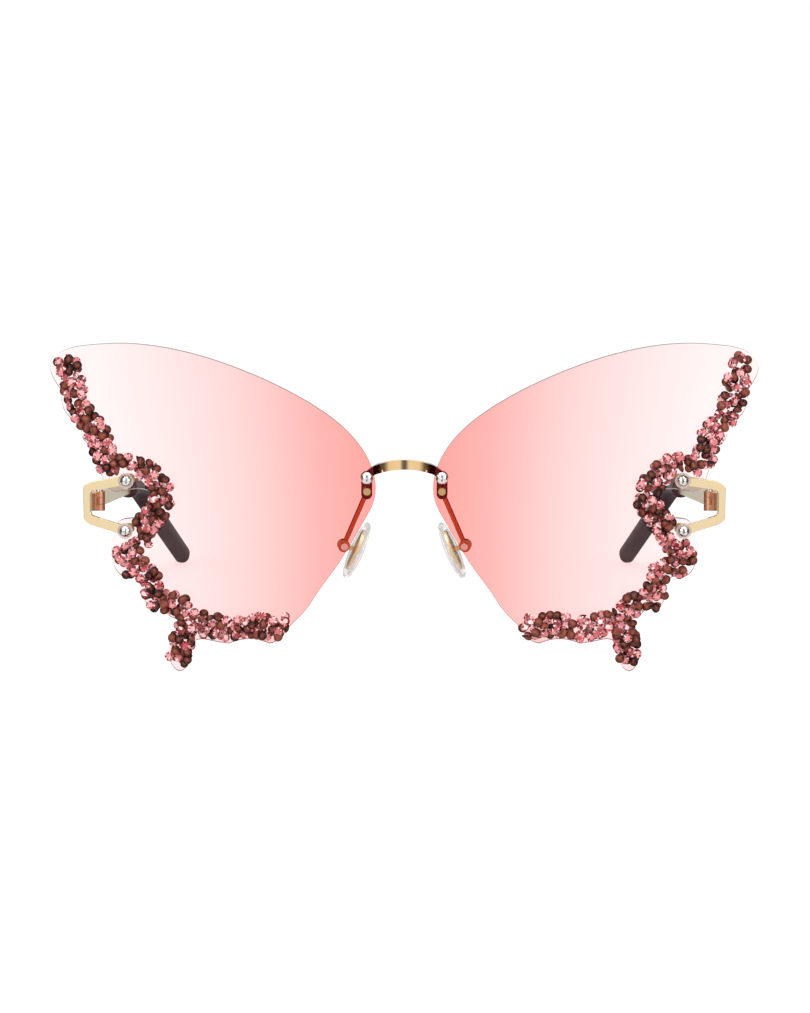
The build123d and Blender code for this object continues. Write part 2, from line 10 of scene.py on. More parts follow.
import bmesh
import bpy
import numpy as np
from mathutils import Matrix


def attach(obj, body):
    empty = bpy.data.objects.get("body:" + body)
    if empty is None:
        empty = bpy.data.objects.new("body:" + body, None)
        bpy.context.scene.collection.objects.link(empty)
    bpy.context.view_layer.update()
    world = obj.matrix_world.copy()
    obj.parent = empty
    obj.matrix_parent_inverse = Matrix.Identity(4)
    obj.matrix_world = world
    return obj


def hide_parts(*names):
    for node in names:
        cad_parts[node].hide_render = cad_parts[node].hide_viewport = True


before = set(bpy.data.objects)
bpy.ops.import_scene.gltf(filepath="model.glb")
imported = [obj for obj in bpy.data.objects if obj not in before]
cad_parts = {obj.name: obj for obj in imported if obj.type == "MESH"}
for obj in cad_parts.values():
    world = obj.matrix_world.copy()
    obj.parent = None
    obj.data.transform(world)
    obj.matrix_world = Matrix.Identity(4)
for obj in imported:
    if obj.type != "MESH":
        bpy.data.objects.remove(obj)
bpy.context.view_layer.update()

# %% [markdown]
# Sizes are written in millimetres, as a maker would, and turned into Blender's metres once.
# A colour picker shows sRGB values. Shaders want linear light, so one function does the turning.

# %% Units and colours
MM = 0.001


def linear(hex_colour):
    """Linear RGBA of an sRGB hex colour: c / 12.92 near black, ((c + 0.055) / 1.055) ** 2.4 above."""
    c = np.array([int(hex_colour[i:i + 2], 16) for i in (1, 3, 5)]) / 255.0
    c = np.where(c <= 0.04045, c / 12.92, ((c + 0.055) / 1.055) ** 2.4)
    return (*c.tolist(), 1.0)


print("mid grey in linear light", round(linear("#808080")[0], 3))

# %% [markdown]
# A material is a small graph of nodes. One helper adds any node, sets its values and makes
# its links, so that the graph of each finish reads as a short list.

# %% Add a node
def add(tree, kind, values=None, links=None, stops=(), **settings):
    """Adds one node. settings are properties, values fill sockets, links join them, stops colour a ramp."""
    node = tree.nodes.new(kind)
    for name, value in settings.items():
        setattr(node, name, value)
    for _ in stops[2:]:
        node.color_ramp.elements.new(1.0)
    for i, (position, colour) in enumerate(stops):
        node.color_ramp.elements[i].position = position
        node.color_ramp.elements[i].color = linear(colour)
    for key, value in (values or {}).items():
        node.inputs[key].default_value = value
    for key, socket in (links or {}).items():
        tree.links.new(socket, node.inputs[key])
    return node


# %% [markdown]
# Three patterns come back in several finishes: an empty material with its output, the values
# of a Map Range node that goes from one number to another between two limits, and a share
# that grows from the nose outwards. The last one reads the level Object coordinate, so it
# stays on the piece when the piece moves.

# %% Shared pieces of a finish
def new_finish(name):
    """An empty material and its node tree, with an output node."""
    material = bpy.data.materials.new(name)
    material.use_nodes = True
    material.node_tree.nodes.clear()
    return material, material.node_tree, add(material.node_tree, "ShaderNodeOutputMaterial")


def span(limits, start=0.0, end=1.0):
    """Socket values of a Map Range node: start + (end - start) * the share of the way between limits."""
    return {"From Min": limits[0], "From Max": limits[1], "To Min": start, "To Max": end}


def share_aside(tree, place, reach_mm):
    """Socket with |x| / reach at each point of a piece."""
    level = add(tree, "ShaderNodeSeparateXYZ", links={0: place.outputs["Object"]})
    distance = add(tree, "ShaderNodeMath", links={0: level.outputs["X"]}, operation="ABSOLUTE")
    share = add(tree, "ShaderNodeMath", {1: 1 / (reach_mm * MM)}, {0: distance.outputs[0]},
                operation="MULTIPLY")
    return share.outputs[0]


# %% [markdown]
# Every new piece is a surface worked out with numpy and put into a mesh in one go.
# A grid of points becomes quads between neighbouring rows and columns. A closed section
# joins its last column to its first, and the two ends are shut with flat caps.

# %% Mesh helpers
def put_mesh(name, points, faces, body, smooth=True, sharp=None):
    """Mesh object at the origin from points in millimetres and lists of corner numbers."""
    mesh = bpy.data.meshes.new(name)
    mesh.from_pydata((np.asarray(points) * MM).tolist(), [], [list(map(int, f)) for f in faces])
    mesh.validate()
    mesh.shade_smooth() if smooth else mesh.shade_flat()
    if sharp is not None:
        mesh.set_sharp_from_angle(angle=math.radians(sharp))
    piece = bpy.data.objects.new(name, mesh)
    bpy.context.collection.objects.link(piece)
    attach(piece, body)
    return piece


def tube_faces(rows, columns):
    """Quads of a rows by columns grid whose sections are closed, and its two end caps."""
    i, j = np.meshgrid(np.arange(rows - 1), np.arange(columns), indexing="ij")
    k = (j + 1) % columns
    quads = np.stack([i * columns + j, i * columns + k, (i + 1) * columns + k, (i + 1) * columns + j], -1)
    start = np.arange(columns)[::-1]
    end = (rows - 1) * columns + np.arange(columns)
    return [*quads.reshape(-1, 4), start, end]


print("faces of a tube of 3 rows and 8 columns", len(tube_faces(3, 8)))

# %% [markdown]
# A new piece takes the place of a CAD node, which it hides. A CAD node whose shape is already
# right, such as a lens, keeps it and only gets a better material.

# %% Dress a piece or a node
def finish_with(piece, material, node):
    """Gives a piece its material and hides the CAD node that it stands for."""
    piece.data.materials.clear()
    piece.data.materials.append(material)
    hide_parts(node)


def repaint(material, *nodes):
    """Gives CAD nodes that keep their shape a better material."""
    for node in nodes:
        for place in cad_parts[node].material_slots:
            place.material = material


# %% [markdown]
# The photograph is taken from a little above and straight in front: the temple tips show
# below the notch of each lens, by as much as a camera 9.5 degrees up and 600 mm away sees.
# The lens follows from the scale, 0.22 mm for each of the 1013 pixels of the long side.

# %% Camera
camera_distance = 600.0
camera_elevation = math.radians(9.5)
sensor = 36.0
pixel = 0.22
long_side = 1013
aim = np.array([0.13, -68.55, 38.2])

camera_data = bpy.data.cameras.new("studio_camera")
camera_data.sensor_fit = "AUTO"
camera_data.sensor_width = sensor
camera_data.lens = sensor * camera_distance / (pixel * long_side)
camera = bpy.data.objects.new("studio_camera", camera_data)
backward = np.array([0.0, -math.cos(camera_elevation), math.sin(camera_elevation)])
camera.location = ((aim + camera_distance * backward) * MM).tolist()
camera.rotation_euler = (math.pi / 2 - camera_elevation, 0.0, 0.0)
bpy.context.collection.objects.link(camera)
bpy.context.scene.camera = camera
print("camera lens", round(camera_data.lens, 1), "mm")

# %% [markdown]
# A product photograph on white has no visible floor line. The floor is white paper that
# looks fully white to the camera and through the lenses, but still takes the object's
# shadow: its own shading is mixed with a glow until plain paper reaches white. Polished
# metal doesn't mirror the paper. It mirrors the tent of the next step.

# %% Floor
floor_half = 6000.0
floor_height = -0.02
glow_share = 0.72
glow_strength = 1.2


def paper_floor():
    """White paper: what the lamps give it, mixed with white so that only shadows stay grey."""
    material, tree, output = new_finish("white paper floor")
    paper = add(tree, "ShaderNodeBsdfDiffuse", {"Color": linear("#F4F4F4")})
    white = add(tree, "ShaderNodeEmission", {"Color": linear("#FFFFFF"), "Strength": glow_strength})
    path = add(tree, "ShaderNodeLightPath")
    rays = {0: path.outputs["Is Camera Ray"], 1: path.outputs["Is Transmission Ray"]}
    seen = add(tree, "ShaderNodeMath", links=rays, operation="MAXIMUM")
    amount = add(tree, "ShaderNodeMath", {1: glow_share}, {0: seen.outputs[0]}, operation="MULTIPLY")
    layers = {0: amount.outputs[0], 1: paper.outputs[0], 2: white.outputs[0]}
    both = add(tree, "ShaderNodeMixShader", links=layers)
    tree.links.new(both.outputs[0], output.inputs["Surface"])
    return material


floor_corners = np.array([(-1, -1, 0), (1, -1, 0), (1, 1, 0), (-1, 1, 0)]) * floor_half
floor_corners[:, 2] = floor_height
floor_mesh = bpy.data.meshes.new("floor")
floor_mesh.from_pydata((floor_corners * MM).tolist(), [], [(0, 1, 2, 3)])
floor_mesh.materials.append(paper_floor())
floor = bpy.data.objects.new("floor", floor_mesh)
bpy.context.collection.objects.link(floor)
floor.visible_glossy = False
print("floor", 2 * floor_half / 1000, "m wide")

# %% [markdown]
# The set stands in a tent of white cloth. The sky plays its part: plain white to the camera,
# an even fill for the object's own colours, and a room for what metal and glass mirror.
# Polished metal that mirrors only white looks flat, so a photographer puts black card round
# it. Here that is a narrow gap ahead where the camera looks in, a wing at each side, and
# the back. Right behind the object the tent is white again, because a lens that is seen at
# a grazing angle mirrors that part and would turn grey.
# A direction is a unit vector. Each pair below says where a change begins and ends: on |x|
# for the gap and the wings, and on y, which is -1 ahead and 1 behind, for the rest.

# %% The sky's dark parts
gap_aside = (0.1, 0.24)
gap_ahead = (-0.75, -0.4)
wing_aside = (0.78, 0.93)
back_begins = (0.0, 0.3)
back_ends = (0.8, 0.95)
darkest = 0.12


def dark_parts(tree):
    """Socket: 1 in the gap, the wings and the back, 0 in the white of the tent."""
    toward = add(tree, "ShaderNodeTexCoord")
    toward = add(tree, "ShaderNodeSeparateXYZ", links={0: toward.outputs["Generated"]})
    aside = add(tree, "ShaderNodeMath", links={0: toward.outputs["X"]}, operation="ABSOLUTE")
    narrow = add(tree, "ShaderNodeMapRange", span(gap_aside, 1.0, 0.0), {0: aside.outputs[0]})
    ahead = add(tree, "ShaderNodeMapRange", span(gap_ahead, 1.0, 0.0), {0: toward.outputs["Y"]})
    both = {0: narrow.outputs[0], 1: ahead.outputs[0]}
    gap = add(tree, "ShaderNodeMath", links=both, operation="MULTIPLY")
    wings = add(tree, "ShaderNodeMapRange", span(wing_aside), {0: aside.outputs[0]})
    behind = add(tree, "ShaderNodeMapRange", span(back_begins), {0: toward.outputs["Y"]})
    before = add(tree, "ShaderNodeMapRange", span(back_ends, 1.0, 0.0), {0: toward.outputs["Y"]})
    both = {0: behind.outputs[0], 1: before.outputs[0]}
    back = add(tree, "ShaderNodeMath", links=both, operation="MULTIPLY")
    dark = add(tree, "ShaderNodeMath", links={0: gap.outputs[0], 1: wings.outputs[0]}, operation="MAXIMUM")
    dark = add(tree, "ShaderNodeMath", links={0: dark.outputs[0], 1: back.outputs[0]}, operation="MAXIMUM")
    return dark.outputs[0]


# %% [markdown]
# The three looks of the tent are mixed by the kind of ray that asks. A ray through a lens
# gets plain white too, and only a mirrored ray meets the dark parts.

# %% Sky
fill_strength = 0.7


def tent_sky():
    """World: white to the camera, the room to mirrored and passing rays, an even fill to the rest."""
    world = bpy.data.worlds.new("studio")
    world.use_nodes = True
    tree = world.node_tree
    tree.nodes.clear()
    path = add(tree, "ShaderNodeLightPath")
    mirrored, passing = path.outputs["Is Glossy Ray"], path.outputs["Is Transmission Ray"]
    dark = add(tree, "ShaderNodeMath", links={0: dark_parts(tree), 1: mirrored}, operation="MULTIPLY")
    level = add(tree, "ShaderNodeMapRange", span((0.0, 1.0), 1.0, darkest), {0: dark.outputs[0]})
    seen = add(tree, "ShaderNodeMath", links={0: mirrored, 1: passing}, operation="MAXIMUM")
    fill = add(tree, "ShaderNodeBackground", {"Color": linear("#FFFFFF"), "Strength": fill_strength})
    room = add(tree, "ShaderNodeBackground", {"Color": linear("#FFFFFF")}, {"Strength": level.outputs[0]})
    white = add(tree, "ShaderNodeBackground", {"Color": linear("#FFFFFF"), "Strength": 1.0})
    layers = {0: seen.outputs[0], 1: fill.outputs[0], 2: room.outputs[0]}
    lit = add(tree, "ShaderNodeMixShader", links=layers)
    layers = {0: path.outputs["Is Camera Ray"], 1: lit.outputs[0], 2: white.outputs[0]}
    both = add(tree, "ShaderNodeMixShader", links=layers)
    add(tree, "ShaderNodeOutputWorld", links={"Surface": both.outputs[0]})
    return world


bpy.context.scene.world = tent_sky()
bpy.context.scene.view_settings.view_transform = "Standard"
print("sky nodes", len(bpy.context.scene.world.node_tree.nodes))

# %% [markdown]
# The lamps are soft: a broad one overhead, a smaller one in front from the left and a weak
# one from the right. A lamp shines along its own -Z, so it is turned from straight down by
# the angle to its target, and then round the upright axis.

# %% Lamps
lamp_target = np.array([0.0, -40.0, 35.0])


def soft_lamp(name, place, size, watts):
    """Square lamp of a size in millimetres at a place, turned to the object."""
    data = bpy.data.lights.new(name, "AREA")
    data.size = size * MM
    data.energy = watts
    lamp = bpy.data.objects.new(name, data)
    spot = np.array(place, float)
    away = (lamp_target - spot) / np.linalg.norm(lamp_target - spot)
    lamp.location = (spot * MM).tolist()
    lamp.rotation_euler = (math.acos(-away[2]), 0.0, math.atan2(-away[0], away[1]))
    bpy.context.collection.objects.link(lamp)


soft_lamp("overhead_tent", (0, -100, 700), 800, 2.4)
soft_lamp("front_left", (-500, -650, 420), 420, 2.4)
soft_lamp("front_right", (560, -520, 260), 300, 1.2)
print("lamps", len(bpy.data.lights))

# %% [markdown]
# The lenses are clear moulded plastic, dyed pink at the nose and fading out towards the
# hinges. A real dye colours light that passes through, so the shader is true glass with a
# coloured transmission, and a ramp over the distance from the nose gives the fade. A
# painted picture would do too, but a ramp has no pixels and needs no unwrapping. Its stops
# are millimetres from the middle of the nose.
# The rim of a lens is made rough and painted grey. The grey is painted shade: the thin dark
# line along the rim of a clear lens. Both faces lie on balls round one centre, and a point
# whose normal turns away from that centre is rim.
# Light passes from a lamp by a plain tinted way through, because bent lamp light would
# leave what is behind the lens in a hard black shadow.

# %% Tinted lenses
lens_stops = [(6.5, "#FFA09A"), (18.6, "#FFB1AD"), (31.8, "#FEC9C7"), (45.0, "#FCD9D8"), (68.0, "#FBEEED")]
lens_reach = 80.0
lens_centre = np.array([0.0, 196.45, 37.19])
rim_facing = (0.5, 0.7)
rim_roughness = 0.5
# painted shade: the grey mixed into the tint on the rim of each lens
rim_painted_shade = "#6E6866"


def let_lamps_through(tree, output, shader, passed):
    """Every ray gets the real shader, except rays to the lamps, which get the tinted way through."""
    path = add(tree, "ShaderNodeLightPath")
    layers = {0: path.outputs["Is Shadow Ray"], 1: shader.outputs[0], 2: passed.outputs[0]}
    both = add(tree, "ShaderNodeMixShader", links=layers)
    tree.links.new(both.outputs[0], output.inputs["Surface"])


def rim_share(tree, place):
    """Socket: 1 on the rim, 0 on the faces, by |normal . direction from the centre|."""
    outward = add(tree, "ShaderNodeVectorMath", {1: tuple(-lens_centre * MM)}, {0: place.outputs["Object"]},
                  operation="ADD")
    outward = add(tree, "ShaderNodeVectorMath", links={0: outward.outputs[0]}, operation="NORMALIZE")
    face = add(tree, "ShaderNodeNewGeometry")
    both = {0: outward.outputs[0], 1: face.outputs["Normal"]}
    facing = add(tree, "ShaderNodeVectorMath", links=both, operation="DOT_PRODUCT")
    facing = add(tree, "ShaderNodeMath", links={0: facing.outputs["Value"]}, operation="ABSOLUTE")
    return add(tree, "ShaderNodeMapRange", span(rim_facing, 1.0, 0.0), {0: facing.outputs[0]}).outputs[0]


def tinted_plastic():
    """Dyed plastic, pink fading to clear along |x|, with painted shade on the rim. IOR 1.3 stands for its
    anti-reflective film.
    """
    material, tree, output = new_finish("dip-dyed clear polycarbonate")
    place = add(tree, "ShaderNodeTexCoord")
    stops = [(x / lens_reach, colour) for x, colour in lens_stops]
    dye = add(tree, "ShaderNodeValToRGB", {}, {"Fac": share_aside(tree, place, lens_reach)}, stops)
    rim = rim_share(tree, place)
    dye_and_rim_shade = add(tree, "ShaderNodeMix", {7: linear(rim_painted_shade)}, {0: rim, 6: dye.outputs["Color"]},
               data_type="RGBA")
    matte = add(tree, "ShaderNodeMath", {1: rim_roughness}, {0: rim}, operation="MULTIPLY")
    plastic = add(tree, "ShaderNodeBsdfPrincipled", {"IOR": 1.3, "Transmission Weight": 1.0},
                  {"Base Color": dye_and_rim_shade.outputs[2], "Roughness": matte.outputs[0]})
    passed = add(tree, "ShaderNodeBsdfTransparent", links={"Color": dye.outputs["Color"]})
    let_lamps_through(tree, output, plastic, passed)
    return material


repaint(tinted_plastic(), "left_lens", "right_lens")
print("dye fades over", lens_stops[0][0], "to", lens_stops[-1][0], "mm from the nose")

# %% [markdown]
# The trim is loose cut stones glued down as they fell: about half show the pink cut face,
# and half lie face down and show the dark bronze lacquer that seals the foil on the back.
# The CAD stones are simple eight-sided ones. Each gives its place and its direction, and a
# finer stone is set there. First, the corners of one stone are found by giving joined
# corners the same label. The least label spreads over shared triangles until nothing changes.

# %% The corners of each stone
cad_corners = 17
same_place_decimals = 4


def stones_of(node):
    """Array of stones by corners by xyz in millimetres: corners that triangles join form one stone."""
    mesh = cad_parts[node].data
    raw = np.empty(len(mesh.vertices) * 3)
    mesh.vertices.foreach_get("co", raw)
    mesh.calc_loop_triangles()
    triangles = np.empty(len(mesh.loop_triangles) * 3, dtype=np.int32)
    mesh.loop_triangles.foreach_get("vertices", triangles)
    places = np.round(raw.reshape(-1, 3) / MM, same_place_decimals)
    points, index = np.unique(places, axis=0, return_inverse=True)
    triangles = index.reshape(-1)[triangles]
    label = np.arange(len(points))
    while True:
        least = label.copy()
        np.minimum.at(least, triangles, np.repeat(label[triangles].reshape(-1, 3).min(axis=1), 3))
        if (least == label).all():
            break
        label = least
    return points[np.argsort(label, kind="stable")].reshape(-1, cad_corners, 3)


stone_nodes = sorted(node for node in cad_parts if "_stones_" in node)
print("first node of stones", stone_nodes[0], "has", len(stones_of(stone_nodes[0])))

# %% [markdown]
# A stone is flat, so its axis is the direction in which its corners spread least, and its
# point is the corner farthest along that axis. The middle of a stone lies girdle_height
# behind its rim, and the corner farthest from the axis gives the direction of its side.

# %% Where each stone lies
stone_width = 2.2
stone_crown = 0.4
stone_point = 0.66
girdle_height = (stone_point - stone_crown) / 4


def stone_places(node):
    """Middle, axis towards the table, and side towards a rim corner, of each stone of a node."""
    stones = stones_of(node)
    each, middle = np.arange(len(stones)), stones.mean(axis=1)
    spread = stones - middle[:, None]
    axis = np.linalg.eigh(spread.transpose(0, 2, 1) @ spread)[1][:, :, 0]
    height = (spread * axis[:, None]).sum(axis=2)
    far = np.abs(height).argmax(axis=1)
    point = stones[each, far]
    axis *= -np.sign(height[each, far])[:, None]
    middle = point + axis * (stone_point - girdle_height)
    level = stones - middle[:, None]
    level -= (level * axis[:, None]).sum(axis=2)[..., None] * axis[:, None]
    side = level[each, np.linalg.norm(level, axis=2).argmax(axis=1)]
    return middle, axis, side / np.linalg.norm(side, axis=1)[:, None]


# %% [markdown]
# Each stone has a flat table, and 24 triangles lead down to its rim of sixteen corners.
# Behind the rim the lacquered back is a blunt cone of flat facets. All corners lie on rings:
# radius, height and equal angles, with the table of eight corners turned by half a step.
# The rim's radius lies between that of the CAD stone's eight corners and of its flat sides.

# %% One cut stone
table_share, rim_size_share, shoulder_share = 0.5, 0.965, 0.6
shoulder_depth_share, tip_depth_share = 0.42, 0.96


def ring(radius, height, count, turn=0.0):
    """Corners radius * (cos, sin) at a height, count to the turn, shifted by part of a step."""
    angle = (np.arange(count) + turn) * math.tau / count
    return np.stack([radius * np.cos(angle), radius * np.sin(angle), np.full(count, height)], axis=-1)


def cut_stone():
    """Corners, faces, and for each face whether it is crown (1) or lacquered back (0)."""
    radius, base = stone_width / 2, girdle_height
    table = ring(table_share * radius, base + stone_crown, 8, turn=0.5)
    rim = ring(rim_size_share * radius, base, 16)
    shoulder = ring(shoulder_share * radius, base - shoulder_depth_share * stone_point, 16)
    corners = np.concatenate([table, rim, shoulder, [[0.0, 0.0, base - tip_depth_share * stone_point]]])
    t, g = 0, len(table)
    b = g + len(rim)
    point = b + len(shoulder)
    k, j = np.arange(8), np.arange(16)
    n, m = (k + 1) % 8, (j + 1) % 16
    crown = [k.tolist()]
    crown += np.stack([t + k, g + 2 * k, g + 2 * k + 1], -1).tolist()
    crown += np.stack([t + k, g + 2 * k + 1, g + 2 * n], -1).tolist()
    crown += np.stack([t + k, g + 2 * n, t + n], -1).tolist()
    under = np.stack([g + j, b + j, b + m, g + m], -1).tolist()
    under += np.stack([b + j, np.full(16, point), b + m], -1).tolist()
    return corners, crown + under, np.array([1] * len(crown) + [0] * len(under))


print("faces of one stone", len(cut_stone()[1]))

# %% [markdown]
# A cut stone flashes because each facet mirrors another part of the room. At this size the
# flash is drawn rather than traced: every facet gets its own number, and a ramp turns it
# into wine red, rose, pale pink or white, while a clear gloss adds the true highlights.
# The back is bronze lacquer over foil, with painted light and shade: warm brown at the point,
# as a painted highlight, and near black at the rim, as painted shade.

# %% Stone finishes
pink_stops = [(0.0, "#5A1216"), (0.24, "#87282C"), (0.4, "#BE565C"), (0.62, "#DF8C8E"), (0.86, "#F0B0B0"),
              (1.0, "#FFF0EC")]
# painted light and shade: warm brown at the point of the back, near black at its rim
lacquer_painted_shade_stops = [(0.0, "#94503C"), (0.4, "#74362A"), (0.66, "#582218"), (0.86, "#1C0706")]


def by_facet(name, stops, values):
    """Finish whose colour is a ramp over the attribute facet, with the shader's other values."""
    material, tree, output = new_finish(name)
    facet = add(tree, "ShaderNodeAttribute", attribute_type="GEOMETRY", attribute_name="facet")
    colour = add(tree, "ShaderNodeValToRGB", {}, {"Fac": facet.outputs["Fac"]}, stops)
    skin = add(tree, "ShaderNodeBsdfPrincipled", values, {"Base Color": colour.outputs["Color"]})
    tree.links.new(skin.outputs[0], output.inputs["Surface"])
    return material


pink_glass = by_facet("cut pink glass, foiled", pink_stops,
                      {"Roughness": 0.12, "IOR": 1.56, "Specular IOR Level": 0.4})
lacquer = by_facet("bronze lacquer over foil, painted rim shade", lacquer_painted_shade_stops,
                   {"Roughness": 0.38, "Metallic": 0.2, "Specular IOR Level": 0.3})
print("stone finishes", pink_glass.name, "and", lacquer.name)

# %% [markdown]
# The number named facet is random for the cut faces, with a brighter table. On the back it
# is the distance from the point, shifted a little for each stone and each facet, and the ramp
# turns it into painted shade at the rim. Each pair below is the mean and the spread of a normal draw.

# %% The light of each facet
facet_light, table_light = (0.42, 0.34), (0.6, 0.2)
stone_tone, patch_tone = (-0.05, 0.2), (0, 0.16)


def facet_numbers(corners, faces, crown, count, chance):
    """Value of facet at every face corner of count stones, face by face."""
    shade = np.clip(chance.normal(*facet_light, crown.size), 0, 1)
    shade[::len(faces)] = np.clip(chance.normal(*table_light, count), 0, 1)
    tone = np.repeat(chance.normal(*stone_tone, count), len(faces)) + chance.normal(*patch_tone, crown.size)
    sizes = np.tile([len(face) for face in faces], count)
    reach = np.linalg.norm(corners[:, :2], axis=1) / (stone_width / 2)
    # painted shade: darker from the point of the back to its rim, with a random tone for each stone and facet
    rim_shade_and_tone = np.tile(reach[np.concatenate(faces)], count) + np.repeat(tone, sizes)
    return np.where(np.repeat(crown, sizes), np.repeat(shade, sizes), np.clip(rim_shade_and_tone, 0, 1))


# %% [markdown]
# All stones of a node become one mesh: the corners of the pattern stone are turned to every
# stone's axis at once. Instances would be lighter, but one mesh for each node exports whole.

# %% Set the stones
def set_stones(node, chance):
    """Stones of one node: corner = middle + x * side + y * across + z * axis, for all at once."""
    corners, faces, is_crown = cut_stone()
    middle, axis, side = stone_places(node)
    across = np.cross(axis, side)
    x, y, z = (corners[None, :, i, None] for i in range(3))
    points = middle[:, None] + x * side[:, None] + y * across[:, None] + z * axis[:, None]
    count = len(middle)
    all_faces = [[c + i * len(corners) for c in face] for i in range(count) for face in faces]
    piece = put_mesh("cut_" + node, points.reshape(-1, 3), all_faces, "front", smooth=False)
    crown = np.tile(is_crown, count).astype(bool)
    piece.data.materials.append(pink_glass)
    piece.data.materials.append(lacquer)
    piece.data.polygons.foreach_set("material_index", (~crown).astype(np.int32))
    facet = piece.data.attributes.new("facet", "FLOAT", "CORNER")
    numbers = facet_numbers(corners, faces, crown, count, chance)
    facet.data.foreach_set("value", numbers.astype(np.float32))
    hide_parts(node)
    return count


chance = np.random.default_rng(7)
print("stones set", sum(set_stones(node, chance) for node in stone_nodes))

# %% [markdown]
# The metal is plated. Plating is a thin even film over polished brass, so it has no grain,
# only a faint waviness left by the buffing wheel. Pale gold goes on the forks and the
# temples, a redder gold on the hinges, copper gold on the pad arms. The waviness is a noise
# of about a millimetre, a few thousandths deep.

# %% Plated metals
gloss_drift = 0.06
wave_strength = 0.6


def plated(name, colour, roughness, wave_mm=1.2, depth_mm=0.004):
    """Polished plating: full metal, roughness that drifts a little, soft buffing waves."""
    material, tree, output = new_finish(name)
    place = add(tree, "ShaderNodeTexCoord")
    wave = add(tree, "ShaderNodeTexNoise", {"Scale": 1 / (wave_mm * MM), "Detail": 2.0},
               {"Vector": place.outputs["Object"]})
    limits = {"To Min": roughness - gloss_drift / 2, "To Max": roughness + gloss_drift}
    gloss = add(tree, "ShaderNodeMapRange", limits, {"Value": wave.outputs["Fac"]})
    bump = add(tree, "ShaderNodeBump", {"Strength": wave_strength, "Distance": depth_mm * MM},
               {"Height": wave.outputs["Fac"]})
    metal = add(tree, "ShaderNodeBsdfPrincipled", {"Base Color": linear(colour), "Metallic": 1.0},
                {"Roughness": gloss.outputs["Result"], "Normal": bump.outputs["Normal"]})
    tree.links.new(metal.outputs[0], output.inputs["Surface"])
    return material


pale_gold = plated("pale gold plating, polished", "#F0D9AE", 0.18)
temple_gold = plated("pale gold plating, brushed", "#F3E6C8", 0.4)
core_gold = plated("pale gold plating, satin", "#DFC79C", 0.34)
copper_gold = plated("copper gold plating, polished", "#C2703E", 0.24)
nut_gold = plated("gold plating, brushed", "#E8BC84", 0.42)
rose_gold = plated("rose gold plating, satin", "#EDB491", 0.3, wave_mm=0.6, depth_mm=0.01)
steel = plated("polished stainless steel", "#E4E2E0", 0.12, depth_mm=0.0005)
platings = (pale_gold, temple_gold, core_gold, copper_gold, nut_gold, rose_gold, steel)
print("platings", ", ".join(material.name for material in platings))

# %% [markdown]
# The bridge is gold in its middle, and its ends and tabs are painted dark red as painted
# shade. One ramp over the distance from the nose gives both, with a short step between.

# %% Bridge plating
# painted shade: the ramp turns from gold to dark red between 5.0 and 5.6 mm from the nose
bridge_gold_and_shade_stops = [(0.0, "#F2D2A0"), (0.5, "#E8BE86"), (0.56, "#6E2A22"), (0.8, "#5A1618"), (1.0, "#5A1618")]
bridge_reach = 10.0
bridge_roughness = 0.16


def bridge_plating():
    """Gold in the middle of the bridge, and painted shade of dark red from |x| = 5.6 mm to the tabs."""
    material, tree, output = new_finish("gold plating, painted shade at the ends")
    place = add(tree, "ShaderNodeTexCoord")
    share = share_aside(tree, place, bridge_reach)
    colour = add(tree, "ShaderNodeValToRGB", {}, {"Fac": share}, bridge_gold_and_shade_stops)
    metal = add(tree, "ShaderNodeBsdfPrincipled", {"Metallic": 1.0, "Roughness": bridge_roughness},
                {"Base Color": colour.outputs["Color"]})
    tree.links.new(metal.outputs[0], output.inputs["Surface"])
    return material


gold_with_painted_shade = bridge_plating()
print("bridge turns dark between", *(round(share * bridge_reach, 1) for share, _ in bridge_gold_and_shade_stops[1:3]), "mm")

# %% [markdown]
# Stamped and cast metal never has knife edges: tumbling rounds them by a tenth of a
# millimetre or more, and that round catches the light. A copy of the CAD mesh is welded at
# its shared corners, and a Bevel modifier rounds every edge sharper than 30 degrees.

# %% Tumbled edges
weld_mm = 0.0002
flat_angle = math.radians(0.5)
edge_angle = math.radians(30)
edge_steps = 3


def tumbled(node, body, width_mm, material):
    """Copy of a CAD node with its corners welded and its sharp edges rounded."""
    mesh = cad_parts[node].data.copy()
    work = bmesh.new()
    work.from_mesh(mesh)
    bmesh.ops.remove_doubles(work, verts=work.verts, dist=weld_mm * MM)
    bmesh.ops.dissolve_limit(work, angle_limit=flat_angle, verts=work.verts, edges=work.edges)
    work.to_mesh(mesh)
    work.free()
    piece = bpy.data.objects.new("tumbled_" + node, mesh)
    bpy.context.collection.objects.link(piece)
    mesh.shade_smooth()
    mesh.set_sharp_from_angle(angle=edge_angle)
    bevel = piece.modifiers.new("tumbling", "BEVEL")
    bevel.width = width_mm * MM
    bevel.segments = edge_steps
    bevel.limit_method = "ANGLE"
    bevel.angle_limit = edge_angle
    bevel.harden_normals = True
    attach(piece, body)
    finish_with(piece, material, node)


# %% [markdown]
# The round is widest where the real piece was tumbled longest: half a millimetre on the
# bridge, less on the forks and temples, and next to nothing on screws and hinge leaves.
# Wires, boxes, pegs and nuts keep their CAD shape and take their plating.

# %% Dress the metal
tumbled("bridge", "front", 0.5, gold_with_painted_shade)
tumbled("bridge_screws", "front", 0.05, steel)
tumbled("endpiece_screws", "front", 0.05, steel)
for side in ("left", "right"):
    arm = side + "_temple_arm"
    tumbled(side + "_endpiece", "front", 0.36, pale_gold)
    tumbled(side + "_temple", arm, 0.2, temple_gold)
    tumbled(side + "_hinge_front_leaf", "front", 0.08, rose_gold)
    tumbled(side + "_hinge_temple_leaf", arm, 0.08, rose_gold)
    repaint(copper_gold, side + "_pad_arm", side + "_pad_box")
    repaint(steel, side + "_pad_screw", side + "_hinge_screw")
    repaint(core_gold, side + "_pad_core")
repaint(nut_gold, "bridge_pegs", "bridge_nuts", "endpiece_nuts")

